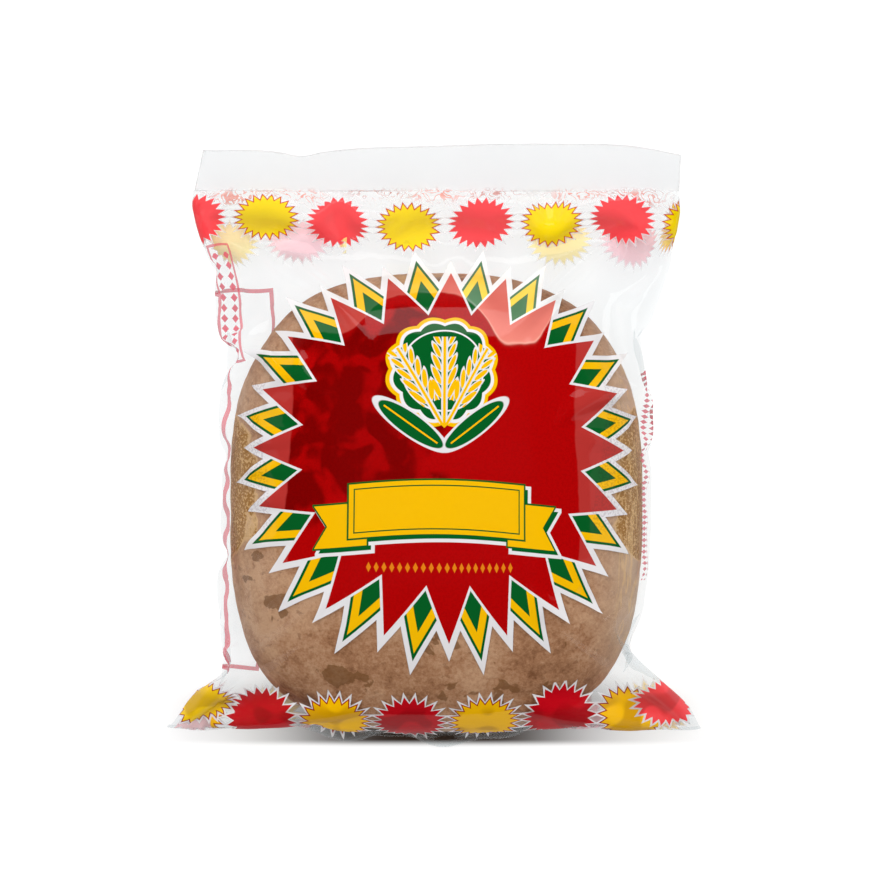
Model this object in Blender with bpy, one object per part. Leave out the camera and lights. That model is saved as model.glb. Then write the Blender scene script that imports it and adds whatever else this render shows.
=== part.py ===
"""A round spiced bun sealed in a clear flow-wrap bag, lying on its back with the printed face up.

Units are metres, +Z is up and +Y runs from the folded bottom end to the sealed top end. The origin is under
the middle of the bag, on the surface that it lies on. The shut bag and the bun in it are one closed solid:
its upper skin is the front film, drawn over the bun's dome, and its lower skin is the back film, pressed flat
under the bun's base. Both skins are worked out as a taut film, held at the bag's outline and lifted or pushed
down by the bun.
"""

import bmesh
import bpy
import numpy as np

MM = 0.001

# The bun: a squarish round with a flat base and a domed top.
BUN_WIDTH = 107.0 * MM
BUN_LENGTH = 120.5 * MM
BUN_HEIGHT = 37.0 * MM
BUN_CENTRE = (0.9 * MM, -14.4 * MM)
BUN_RIM_HEIGHT = 13.6 * MM      # where the crust is widest
UPPER_POWER = 2.5               # of the plan towards +Y: above 2, so it is squarer than an ellipse
LOWER_POWER = 3.2               # of the plan towards -Y
DOME_POWER = 2.7                # above 2, so the top is flatter than an ellipsoid
BASE_POWER = 7.0                # high, so the base is flat nearly out to the rim

# The film and its seals.
FILM_GAP = 0.7 * MM             # between the crust and the outer side of the film
FIN_THICKNESS = 0.8 * MM        # two films and the air in their ribs
FIN_LENGTH = 10.5 * MM
FIN_WAVE = 2.2 * MM             # how far the sealed edge waves up and down
FIN_WAVES = 2.3                 # waves across the bag
FIN_WAVE_START = 0.4            # phase of the wave at the left corner
SAG = 20.0                      # how the two films fall together above the bun, as a curvature in 1/m
SAG_START = 10.0 * MM           # along +Y, where that starts
SAG_FULL = 32.0 * MM
PUFF = 270.0                    # bulge of the air in each bottom corner, as a curvature in 1/m
PUFF_PLACE = (50.0 * MM, -59.0 * MM)
PUFF_REACH = 9.0 * MM

# The bag's outline, seen from above: (distance along +Y, half width, height of the side fold).
TOP_Y = 76.5 * MM
BOTTOM_Y = -76.5 * MM
LEFT_SIDE = (
    (TOP_Y, 60.3 * MM, 14.0 * MM),          # fin's corner
    (61.0 * MM, 62.1 * MM, 14.0 * MM),      # shoulder
    (38.0 * MM, 56.9 * MM, 14.5 * MM),      # taper
    (19.0 * MM, 54.4 * MM, 15.0 * MM),      # waist, at the bun's upper shoulder
    (-8.0 * MM, 55.8 * MM, 15.0 * MM),      # beside the bun
    (-40.0 * MM, 55.4 * MM, 13.5 * MM),     # flank
    (-58.5 * MM, 54.6 * MM, 13.5 * MM),     # root of the ear
    (-67.0 * MM, 63.0 * MM, 12.5 * MM),     # crest of the ear
    (BOTTOM_Y, 70.0 * MM, 11.0 * MM),       # tip of the ear
)
RIGHT_SIDE = (
    (TOP_Y, 64.0 * MM, 14.0 * MM),
    (55.0 * MM, 63.3 * MM, 14.0 * MM),
    (35.0 * MM, 59.8 * MM, 14.5 * MM),
    (16.0 * MM, 54.6 * MM, 15.0 * MM),
    (-14.0 * MM, 57.0 * MM, 15.0 * MM),
    (-45.0 * MM, 53.6 * MM, 13.5 * MM),
    (-54.0 * MM, 51.6 * MM, 13.5 * MM),
    (-61.5 * MM, 59.6 * MM, 13.0 * MM),
    (-72.5 * MM, 68.4 * MM, 11.5 * MM),
    (BOTTOM_Y, 70.0 * MM, 11.0 * MM),
)
BASE_FOLD_HEIGHT = 15.0 * MM    # of the bottom fold, where it passes the bun
BASE_FOLD_WIDTH = 50.0 * MM     # how far from the middle that fold stays high

# The mesh.
COLUMNS = 40
ROWS = 46
EDGE_CROWDING = 0.45            # share of a sine in the spacing, which packs columns near the side folds
RELAX_STEPS = 4000


def along_curve(stations, y):
    """The (half width, fold height) of a side at y, on a smooth curve through its stations."""
    points = np.array(stations[::-1])
    i = int(np.clip(np.searchsorted(points[:, 0], y) - 1, 0, len(points) - 2))
    before, start, end, after = (points[np.clip(j, 0, len(points) - 1)] for j in (i - 1, i, i + 1, i + 2))
    step = end[0] - start[0]
    t = (y - start[0]) / step
    slope_start = (end - before)[1:] / max(end[0] - before[0], step) * step
    slope_end = (after - start)[1:] / max(after[0] - start[0], step) * step
    return ((2 * t**3 - 3 * t**2 + 1) * start[1:] + (t**3 - 2 * t**2 + t) * slope_start
            + (3 * t**2 - 2 * t**3) * end[1:] + (t**3 - t**2) * slope_end)


def row_positions():
    """Where the rows of the mesh lie along Y, close together at the bottom fold and on the fin."""
    fin = np.linspace(TOP_Y, TOP_Y - FIN_LENGTH, 4)
    turn = np.linspace(0.0, 1.0, ROWS - len(fin) + 1)[1:]
    body = fin[-1] + (BOTTOM_Y - fin[-1]) * (turn + 0.09 * np.sin(np.pi * turn) * turn)
    return np.concatenate([fin, body])


def plan_grid():
    """x and y of every mesh point, seen from above, and the height of the side folds at each row."""
    ys = row_positions()
    across = np.linspace(-1.0, 1.0, COLUMNS + 1)
    across = (1 - EDGE_CROWDING) * across + EDGE_CROWDING * np.sin(np.pi / 2 * across)
    xs = np.empty((ROWS, COLUMNS + 1))
    folds = np.empty((ROWS, 2))
    for row, y in enumerate(ys):
        left, left_fold = along_curve(LEFT_SIDE, y)
        right, right_fold = along_curve(RIGHT_SIDE, y)
        xs[row] = (right - left) / 2 + (right + left) / 2 * across
        folds[row] = left_fold, right_fold
    return xs, np.repeat(ys[:, None], COLUMNS + 1, axis=1), folds


def bun_heights(x, y):
    """The bun's upper and lower surface over a point, and whether there is bun there."""
    across = np.abs(x - BUN_CENTRE[0]) / (BUN_WIDTH / 2)
    along = np.abs(y - BUN_CENTRE[1]) / (BUN_LENGTH / 2)
    power = np.where(y > BUN_CENTRE[1], UPPER_POWER, LOWER_POWER)
    radius = (across**power + along**power) ** (1 / power)
    inside = radius < 1.0
    r = np.minimum(radius, 1.0)
    top = BUN_RIM_HEIGHT + (BUN_HEIGHT - BUN_RIM_HEIGHT) * np.sqrt(1 - r**DOME_POWER)
    bottom = BUN_RIM_HEIGHT * (1 - np.sqrt(1 - r**BASE_POWER))
    return top, bottom, inside


def neighbour_weights(x, y):
    """Weights that make each inner point the average of its neighbours on an uneven grid."""
    left = np.diff(x, axis=1)[1:-1, :-1]
    right = np.diff(x, axis=1)[1:-1, 1:]
    up = -np.diff(y, axis=0)[:-1, 1:-1]
    down = -np.diff(y, axis=0)[1:, 1:-1]
    weights = [1 / (left * (left + right)), 1 / (right * (left + right)), 1 / (up * (up + down)), 1 / (down * (up + down))]
    total = sum(weights)
    return [w / total for w in weights], 1 / (2 * total)


def bulge(x, y):
    """Curvature that the air gives the free film, which is negative where the film sags."""
    from_corner = np.hypot(np.abs(x) - PUFF_PLACE[0], y - PUFF_PLACE[1]) / PUFF_REACH
    return PUFF * np.exp(-from_corner**2) - SAG * np.clip((y - SAG_START) / (SAG_FULL - SAG_START), 0.0, 1.0)


def taut_film(start, x, y, lowest, highest, outward):
    """Heights of a film held at the border of start, kept between two limits and bulging up (1) or down (-1)."""
    height = start.copy()
    (left, right, up, down), spread = neighbour_weights(x, y)
    lift = outward * bulge(x, y)[1:-1, 1:-1]
    for _ in range(RELAX_STEPS):
        settled = (left * height[1:-1, :-2] + right * height[1:-1, 2:]
                   + up * height[:-2, 1:-1] + down * height[2:, 1:-1] + lift * spread)
        height[1:-1, 1:-1] = np.clip(settled, lowest[1:-1, 1:-1], highest[1:-1, 1:-1])
    return height


def skins():
    """x, y, the heights of the front film and of the back film over the mesh."""
    x, y, folds = plan_grid()
    share = np.linspace(0.0, 1.0, COLUMNS + 1)
    held = folds[:, :1] * (1 - share) + folds[:, 1:] * share
    on_fin = y > TOP_Y - FIN_LENGTH - 1e-9
    wave = FIN_WAVE * np.sin(2 * np.pi * FIN_WAVES * share + FIN_WAVE_START) * np.sqrt(np.sin(np.pi * share))
    held = np.where(on_fin, held + wave, held)
    passing = np.exp(-((x[-1] / BASE_FOLD_WIDTH) ** 4))
    held[-1] = held[-1] * (1 - passing) + BASE_FOLD_HEIGHT * passing
    top, bottom, inside = bun_heights(x, y)
    half_fin = FIN_THICKNESS / 2
    no_limit = np.full_like(x, 1.0)
    least = np.where(inside, top + FILM_GAP, held - 4 * MM)
    most = np.where(inside, np.maximum(bottom - FILM_GAP, 0.0), no_limit)
    front_low = np.where(on_fin, held + half_fin, least)
    front_high = np.where(on_fin, held + half_fin, no_limit)
    back_low = np.where(on_fin, held - half_fin, 0.0)
    back_high = np.where(on_fin, held - half_fin, most)
    front = taut_film(np.clip(held + half_fin, front_low, front_high), x, y, front_low, front_high, 1)
    back = taut_film(np.clip(held - half_fin, back_low, back_high), x, y, back_low, back_high, -1)
    return x, y, front, np.clip(np.minimum(back, front - FIN_THICKNESS), 0.0, None)


def film_material():
    """Clear, glossy film printed red, as it looks over the brown crust."""
    material = bpy.data.materials.new("printed_film")
    material.use_nodes = True
    shader = material.node_tree.nodes["Principled BSDF"]
    shader.inputs["Base Color"].default_value = (0.42, 0.09, 0.05, 1.0)
    shader.inputs["Roughness"].default_value = 0.18
    shader.inputs["Metallic"].default_value = 0.0
    return material


def sealed_bag():
    """The shut bag with its bun, as one closed solid: a grid shaped as the back film, extruded to the front."""
    x, y, front, back = skins()
    mesh = bpy.data.meshes.new("sealed_bag")
    shape = bmesh.new()
    bmesh.ops.create_grid(shape, x_segments=COLUMNS, y_segments=ROWS - 1, size=1.0)
    cell = shape.verts.layers.int.new("cell")
    for vertex in shape.verts:
        column = round((vertex.co.x + 1) / 2 * COLUMNS)
        row = round((1 - vertex.co.y) / 2 * (ROWS - 1))
        vertex[cell] = row * (COLUMNS + 1) + column
        vertex.co = (x[row, column], y[row, column], back[row, column])
    raised = bmesh.ops.extrude_face_region(shape, geom=shape.faces[:])["geom"]
    for vertex in (item for item in raised if isinstance(item, bmesh.types.BMVert)):
        row, column = divmod(vertex[cell], COLUMNS + 1)
        vertex.co.z = front[row, column]
    bmesh.ops.recalc_face_normals(shape, faces=shape.faces)
    shape.to_mesh(mesh)
    shape.free()
    mesh.shade_smooth()
    mesh.materials.append(film_material())
    bag = bpy.data.objects.new("sealed_bag", mesh)
    bpy.context.scene.collection.objects.link(bag)
    return bag


def main():
    for leftover in list(bpy.data.objects):
        bpy.data.objects.remove(leftover)
    sealed_bag()


main()
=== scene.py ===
"""Looks of a round spiced bun sealed in a clear, printed flow-wrap bag that lies on its back.

Lengths are metres, +Z is up, +X is the front's right and +Y runs from the folded bottom end to the crimped
top end. The film is a flat tube that is worked out as real film behaves: it hardly stretches, buckles freely,
is held by its two sealed ends and is lifted by the bun and by a little air. Its print is drawn on the flat
film, in millimetres, so it follows every crease.
"""

import logging
import math
from dataclasses import dataclass, field
from enum import Enum, Flag, auto
from typing import Any, Callable, Optional, Sequence, Union

import bmesh
import bpy
import numpy as np
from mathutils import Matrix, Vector, noise
from mathutils.bvhtree import BVHTree

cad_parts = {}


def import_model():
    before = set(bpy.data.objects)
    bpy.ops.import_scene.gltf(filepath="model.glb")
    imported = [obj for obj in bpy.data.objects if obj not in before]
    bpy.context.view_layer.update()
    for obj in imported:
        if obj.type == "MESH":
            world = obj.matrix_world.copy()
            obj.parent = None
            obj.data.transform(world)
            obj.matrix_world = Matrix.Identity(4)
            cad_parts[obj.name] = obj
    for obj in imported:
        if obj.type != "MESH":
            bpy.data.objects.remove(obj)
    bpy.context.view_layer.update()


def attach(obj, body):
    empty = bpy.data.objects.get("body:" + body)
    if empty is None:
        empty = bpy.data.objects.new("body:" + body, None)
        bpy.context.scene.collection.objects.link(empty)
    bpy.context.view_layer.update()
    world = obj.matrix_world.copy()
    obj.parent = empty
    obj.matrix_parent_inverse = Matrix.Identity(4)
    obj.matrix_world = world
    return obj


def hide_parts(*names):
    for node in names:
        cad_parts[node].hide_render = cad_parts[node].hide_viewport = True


MM = 0.001
FILM_LAYERS = 24                        # how many layers of film light can pass one after another
LOG = logging.getLogger("wrapped_bun")
Array = np.ndarray
Colour = tuple[float, float, float]


def srgb(red: int, green: int, blue: int) -> Colour:
    """Turn a display colour of 0 to 255 into the linear colour that a shader takes."""
    def linear(channel: int) -> float:
        """Undo the display curve of one channel."""
        share = channel / 255
        return share / 12.92 if share <= 0.04045 else ((share + 0.055) / 1.055) ** 2.4
    return linear(red), linear(green), linear(blue)


# ---------------------------------------------------------------------------------------------------------
# Meshes
# ---------------------------------------------------------------------------------------------------------

def mesh_from(name: str, shape: bmesh.types.BMesh) -> bpy.types.Mesh:
    """Turn a bmesh, which is used up, into a mesh."""
    mesh = bpy.data.meshes.new(name)
    shape.to_mesh(mesh)
    shape.free()
    return mesh


def vertex_places(mesh: bpy.types.Mesh) -> Array:
    """Read the places of a mesh's vertices, one a row."""
    places = np.empty(len(mesh.vertices) * 3)
    mesh.vertices.foreach_get("co", places)
    return places.reshape(-1, 3)


def store_number(mesh: bpy.types.Mesh, name: str, values: Array) -> None:
    """Store a number at each vertex, for the material to read."""
    mesh.attributes.new(name, "FLOAT", "POINT").data.foreach_set("value", values)


def link(name: str, mesh: bpy.types.Mesh) -> bpy.types.Object:
    """Put a mesh into the scene as an object at the origin."""
    piece = bpy.data.objects.new(name, mesh)
    bpy.context.scene.collection.objects.link(piece)
    return piece


# ---------------------------------------------------------------------------------------------------------
# Shader graphs
# ---------------------------------------------------------------------------------------------------------

Operand = Union["Value", float, int]


def operator(operation: str, swapped: bool = False) -> Callable[["Value", Operand], "Value"]:
    """Make a method that works on two numbers with a Math node.

    Args:
        operation: The node's operation.
        swapped: Whether the second number comes first, as in 1 - mask.

    Returns:
        The method.
    """
    def method(self: "Value", other: Operand) -> "Value":
        """Add the node."""
        return self.graph.math(operation, *((other, self) if swapped else (self, other)))
    return method


def function(operation: str) -> Callable[["Value"], "Value"]:
    """Make a method that works on one number with a Math node's operation."""
    def method(self: "Value") -> "Value":
        """Add the node."""
        return self.graph.math(operation, self)
    return method


class Value:
    """A number that varies over a surface: the output socket of a node, with arithmetic."""

    __add__ = __radd__ = operator("ADD")
    __sub__ = operator("SUBTRACT")
    __rsub__ = operator("SUBTRACT", swapped=True)
    __mul__ = __rmul__ = operator("MULTIPLY")
    __truediv__ = operator("DIVIDE")
    __rtruediv__ = operator("DIVIDE", swapped=True)
    __mod__ = operator("FLOORED_MODULO")            # never negative
    __pow__ = operator("POWER")
    __lt__ = operator("LESS_THAN")                  # 1 where it holds, 0 elsewhere
    __gt__ = operator("GREATER_THAN")
    __abs__ = function("ABSOLUTE")
    at_least = operator("MAXIMUM")
    at_most = operator("MINIMUM")
    sine = function("SINE")
    cosine = function("COSINE")

    def __init__(self, graph: "Graph", socket: bpy.types.NodeSocket) -> None:
        """Wrap a socket of a graph."""
        self.graph = graph
        self.socket = socket

    def clamped(self) -> "Value":
        """Keep between 0 and 1."""
        return self.line(1.0, 0.0, clamp=True)

    def line(self, slope: float, offset: float, clamp: bool = False) -> "Value":
        """Multiply by a slope and add an offset, and keep between 0 and 1 if asked."""
        return self.graph.math("MULTIPLY_ADD", self, slope, offset, clamp=clamp)

    def back_and_forth(self, half: float) -> "Value":
        """Run back and forth between 0 and half a pitch."""
        return self.graph.math("PINGPONG", self, half)

    def ramp(self, start: float, end: float) -> "Value":
        """Rise from 0 at start to 1 at end, with soft ends."""
        node = self.graph.node("ShaderNodeMapRange", {"interpolation_type": "SMOOTHSTEP"},
                               {"Value": self, "From Min": start, "From Max": end})
        return Value(self.graph, node.outputs["Result"])

    def hill(self, centre: float, width: float) -> "Value":
        """Rise to 1 at a centre and fall back to 0 beyond a width on either side."""
        off = self.line(1 / width, -centre / width)
        square = off * off
        return 1 / self.graph.math("MULTIPLY_ADD", square, square, 1.0)


class Graph:
    """The nodes of one material or world, and the one method that adds them."""

    def __init__(self, owner: Any, noise_space: str = "3D") -> None:
        """Clear the nodes of a material or world and start with its output.

        Args:
            owner: The material or world to draw in.
            noise_space: "3D" for noise through a solid and "2D" for noise on a flat sheet.
        """
        owner.use_nodes = True
        self.noise_space = noise_space
        self.tree = owner.node_tree
        self.tree.nodes.clear()
        kind = "ShaderNodeOutputWorld" if isinstance(owner, bpy.types.World) else "ShaderNodeOutputMaterial"
        self.output = self.tree.nodes.new(kind)

    def node(self, kind: str, settings: Optional[dict[str, Any]] = None,
             inputs: Optional[dict[Union[str, int], Any]] = None) -> bpy.types.Node:
        """Add a node.

        Args:
            kind: The node's type.
            settings: Its properties, set before its sockets; "stops" fills a colour ramp.
            inputs: The value or link of each socket, by name or index.

        Returns:
            The node.
        """
        node = self.tree.nodes.new(kind)
        for name, value in (settings or {}).items():
            if name == "stops":
                while len(node.color_ramp.elements) < len(value):
                    node.color_ramp.elements.new(0.5)
                for element, (place, colour) in zip(node.color_ramp.elements, value):
                    element.position = place
                    element.color = (*colour, 1.0)
            else:
                setattr(node, name, value)
        for name, value in (inputs or {}).items():
            socket = node.inputs[name]
            if isinstance(value, Value):
                self.tree.links.new(value.socket, socket)
            elif isinstance(value, bpy.types.NodeSocket):
                self.tree.links.new(value, socket)
            elif socket.type == "RGBA" and len(value) == 3:
                socket.default_value = (*value, 1.0)
            else:
                socket.default_value = value
        return node

    def math(self, operation: str, *operands: Operand, clamp: bool = False) -> Value:
        """Add a Math node for an operation on values and numbers."""
        node = self.node("ShaderNodeMath", {"operation": operation, "use_clamp": clamp},
                         dict(enumerate(operands)))
        return Value(self, node.outputs[0])

    def millimetres(self, place: Any) -> tuple[Value, Value]:
        """Read how far along X and along Y some coordinates are, in millimetres."""
        split = self.node("ShaderNodeSeparateXYZ", None, {0: place})
        return Value(self, split.outputs[0]) * (1 / MM), Value(self, split.outputs[1]) * (1 / MM)

    def polar(self, x: Value, y: Value) -> tuple[Value, Value]:
        """Turn a place into its distance from the middle and its angle."""
        return self.math("SQRT", self.math("MULTIPLY_ADD", x, x, y * y)), self.math("ARCTAN2", y, x)

    def blend(self, share: Operand, first: Any, second: Any, kind: str = "MIX") -> bpy.types.NodeSocket:
        """Mix two colours.

        Args:
            share: How much of the second colour shows.
            first: A colour or its socket.
            second: A colour or its socket.
            kind: How the second colour works on the first.

        Returns:
            The mixed colour's socket.
        """
        node = self.node("ShaderNodeMix", {"data_type": "RGBA", "blend_type": kind, "clamp_result": True},
                         {0: share, 6: first, 7: second})
        return node.outputs[2]

    def attribute(self, name: str) -> Value:
        """Read a number that is stored on the mesh."""
        return Value(self, self.node("ShaderNodeAttribute", {"attribute_name": name}).outputs["Fac"])

    def speckle(self, place: Any, scale: float, detail: float = 2.0, rough: float = 0.5,
                warp: float = 0.0) -> Value:
        """Add a noise.

        Args:
            place: The coordinates' socket.
            scale: Features for each metre.
            detail: Octaves.
            rough: Strength of each finer octave.
            warp: Distortion.

        Returns:
            The noise, around 0.5.
        """
        node = self.node("ShaderNodeTexNoise", {"noise_dimensions": self.noise_space}, {
            "Vector": place, "Scale": scale, "Detail": detail, "Roughness": rough, "Distortion": warp})
        return Value(self, node.outputs["Fac"])

    def mix_shaders(self, share: Operand, first: Any, second: Any) -> bpy.types.NodeSocket:
        """Mix two shaders, with share as the second one's part."""
        return self.node("ShaderNodeMixShader", None, {0: share, 1: first, 2: second}).outputs[0]

    def bump(self, height: Value, distance: float, strength: float) -> bpy.types.NodeSocket:
        """Add a bump whose full height is a distance in metres."""
        node = self.node("ShaderNodeBump", None, {
            "Height": height, "Distance": distance, "Strength": strength})
        return node.outputs["Normal"]

    def finish(self, shader: Any) -> None:
        """Send a shader to the output's surface."""
        self.tree.links.new(shader, self.output.inputs["Surface"])


# ---------------------------------------------------------------------------------------------------------
# The bun
# ---------------------------------------------------------------------------------------------------------

@dataclass(frozen=True)
class BunForm:
    """The bun's form: a squarish round whose top is a flattened dome and whose base is flat."""

    centre_x: float = 0.3 * MM
    centre_y: float = -14.8 * MM
    width: float = 108.5 * MM
    length: float = 120.0 * MM
    dome: float = 24.0 * MM             # from the rim, where it is widest, to the top
    base: float = 13.0 * MM             # from the rim down to the base
    rim: float = 13.6 * MM              # height of the rim above the floor
    upper_power: float = 2.67           # of the plan towards +Y: 2 would be an oval, more is squarer
    lower_power: float = 3.0            # of the plan towards -Y
    dome_power: float = 2.7
    base_power: float = 7.0
    push_limit: float = 1.5 * MM        # how far film is pushed out at a time
    search_steps: int = 30              # that find the surface in a direction

    def _level(self, points: Array, gap: float, growth: float) -> tuple[Array, Array]:
        """Level of the form's field at points, which is 1 on its surface, and the field's slope.

        Args:
            points: Places, one a row.
            gap: How far outside the crust the surface is taken.
            growth: Share of the bun's height, for a bun that is still rising.

        Returns:
            The levels and the slopes.
        """
        half_x, half_y = self.width / 2 + gap, self.length / 2 + gap
        x, y = points[:, 0] - self.centre_x, points[:, 1] - self.centre_y
        z = points[:, 2] - self.rim
        height = np.where(z > 0, self.dome, self.base) * growth + gap
        plan = self._plan_power(y)
        across, along = np.abs(x / half_x), np.abs(y / half_y)
        spread = np.maximum(across**plan + along**plan, 1e-9)
        power = np.where(z > 0, self.dome_power, self.base_power)
        pull = power * spread ** (power / plan - 1)
        slope = np.stack([pull * across ** (plan - 1) * np.sign(x) / half_x,
                          pull * along ** (plan - 1) * np.sign(y) / half_y,
                          2 * z / height**2], -1)
        return spread ** (power / plan) + (z / height) ** 2, slope

    def _plan_power(self, y: Array) -> Array:
        """Power of the plan's curve at places along Y from the bun's middle."""
        return np.where(y > 0, self.upper_power, self.lower_power)

    def push_out(self, points: Array, gap: float, growth: float) -> None:
        """Move points that are inside the bun out to its surface.

        Args:
            points: Rows and columns of places, changed in place.
            gap: How far outside the crust they stop.
            growth: Share of the bun's height, for a bun that is still rising.
        """
        reach = np.array([self.width / 2 + gap, self.length / 2 + gap, self.dome + gap])
        centre = np.array([self.centre_x, self.centre_y, self.rim])
        near = np.nonzero((np.abs(points - centre) < reach).all(-1))
        level, slope = self._level(points[near], gap, growth)
        steep = (slope**2).sum(-1) + 1e-12
        step = np.maximum(1 - level, 0) / steep
        step *= np.minimum(1.0, self.push_limit / np.maximum(step * np.sqrt(steep), 1e-9))
        points[near] += step[:, None] * slope

    def gap(self, points: Array) -> Array:
        """Distance, roughly, from points to the bun's surface.

        Args:
            points: Places, one a row.

        Returns:
            The distances, not below 0.
        """
        level, slope = self._level(points, 0.0, 1.0)
        return np.maximum(level - 1, 0) / (np.linalg.norm(slope, axis=-1) + 1e-9)

    def surface(self, directions: Array) -> Array:
        """Lay points of a unit sphere on the bun's surface.

        Args:
            directions: The sphere's points, one a row.

        Returns:
            Their places on the bun.
        """
        plan = self._plan_power(directions[:, 1])
        flat = (np.abs(directions[:, :2]) ** plan[:, None]).sum(-1) ** (1 / plan)
        power = np.where(directions[:, 2] > 0, self.dome_power, self.base_power)
        reach = np.ones(len(directions))
        for _ in range(self.search_steps):
            level = (reach * flat) ** power + (reach * directions[:, 2]) ** 2
            slope = power * (reach * flat) ** power / reach + 2 * reach * directions[:, 2] ** 2
            reach += np.clip((1 - level) / np.maximum(slope, 1e-6), -0.2, 0.2)
        height = np.where(directions[:, 2] > 0, self.dome, self.base)
        return np.stack([self.centre_x + self.width / 2 * reach * directions[:, 0],
                         self.centre_y + self.length / 2 * reach * directions[:, 1],
                         self.rim + height * reach * directions[:, 2]], -1)


@dataclass(frozen=True)
class CrustFinish:
    """Brown, slightly rough crust, darker where the film clings to it, with painted glints there and a
    painted sheen near the sides where the film stands off.
    """

    pale: Colour = srgb(204, 159, 124)
    middle: Colour = srgb(175, 125, 90)
    dark: Colour = srgb(130, 84, 54)
    damp: Colour = srgb(120, 78, 42)
    clinging: Colour = srgb(164, 112, 46)
    # colour of the painted glints on the clinging patches and of the painted crease highlights
    glint: Colour = srgb(240, 198, 140)
    sheen: Colour = srgb(212, 180, 152)    # painted sheen near the sides, where the film stands off the crust
    # strength of the painted sheen at the bun's middle, growing towards the right
    sheen_strength: float = 0.42
    cling_reach: float = 1.0            # mm between crust and film at which the film clings
    middle_x: float = 0.3               # of the bun, in mm
    flank: float = 46.5                 # how far from it the film starts to cling to the sides, in mm
    flank_middle: float = -10.5         # where along Y it clings most, in mm
    spot: tuple[float, float] = (-24.7, -62.2)      # a damp spot near the folded end, in mm
    spot_size: tuple[float, float] = (6.4, 2.6)
    spot_slant: float = 0.12

    def material(self) -> bpy.types.Material:
        """Make the crust's material."""
        material = bpy.data.materials.new("crust")
        graph = Graph(material)
        place = graph.node("ShaderNodeTexCoord").outputs["Object"]
        # the crumb's tones, with freckles, slightly paler towards the sides, and a painted sheen on the
        # flanks that is stronger on the right
        broad = graph.speckle(place, 40.0, 3.0, 0.55, 0.5)
        mottle = graph.speckle(place, 190.0, 3.0, 0.66, 0.3)
        fine = graph.speckle(place, 1000.0, 2.0, 0.7)
        gap = graph.attribute("film_gap")
        x, y = graph.millimetres(place)
        aside = abs(x - self.middle_x)
        margin = aside.ramp(38.0, 51.0)
        tone = broad * 0.5 + mottle * 0.3 + fine * 0.3 + margin * 0.05
        colour = graph.node("ShaderNodeValToRGB", {"stops": [
            (0.41, self.dark), (0.53, self.middle), (0.66, self.pale)]}, {"Fac": tone}).outputs["Color"]
        freckles = graph.speckle(place, 480.0, 2.0, 0.5).ramp(0.62, 0.69)
        colour = graph.blend(freckles * 0.45, colour, self.dark)
        # painted sheen of the film that stands off the flanks, stronger on the right
        colour = graph.blend(margin * x.line(0.006, self.sheen_strength), colour, self.sheen)
        # damp spots, and the wet patches at both sides that the film sticks to, with painted glints in them
        edge = graph.speckle(place, 75.0, 3.0, 0.55, 0.9)
        across = (x - self.spot[0]) / self.spot_size[0]
        along = (y - self.spot[1] + x * self.spot_slant) / self.spot_size[1]
        lens = 1.0 - (across * across + along * along) ** 0.5 + (edge - 0.5) * 2.2 + (mottle - 0.5) * 2.0
        damp = (edge * 2.0 - gap / self.cling_reach - 0.40).at_least(lens * 0.5).ramp(0.0, 0.04)
        colour = graph.blend(damp * 0.7, colour, self.damp)
        beyond = (abs(y - self.flank_middle) - 13.0).at_least(0.0)
        reach = aside - self.flank + (edge - 0.5) * 14.0 - beyond * 0.9
        cling = reach.ramp(0.0, 0.4)
        # painted glints scattered over the wet patches
        glints = graph.speckle(place, 1500.0, 1.0, 0.6).ramp(0.5, 0.62)
        wet_and_glints = graph.blend(glints * 0.6, self.clinging, self.glint)
        colour = graph.blend(cling * 0.92, colour, wet_and_glints)
        # painted highlights: fine film creases that run down the right side, and the patches' bright rims
        drawn = graph.node("ShaderNodeVectorMath", {"operation": "MULTIPLY"},
                           {0: place, 1: (1.0, 0.07, 1.0)})
        crease_line = abs(graph.speckle(drawn.outputs[0], 420.0, 2.0, 0.5, 0.4) - 0.5)
        crease_highlights = crease_line.ramp(0.05, 0.0) * x.ramp(45.0, 49.0)
        colour = graph.blend(crease_highlights.at_least(reach.hill(0.0, 0.4)) * 0.5, colour, self.glint)
        relief = mottle * 0.6 + fine * 0.4
        normal = graph.bump(relief, 0.5 * MM, 0.9)
        skin = graph.node("ShaderNodeBsdfPrincipled", None, {
            "Base Color": colour, "Roughness": 0.62 - damp * 0.3, "Normal": normal,
            "Specular IOR Level": 0.35})
        graph.finish(skin.outputs[0])
        return material


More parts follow.
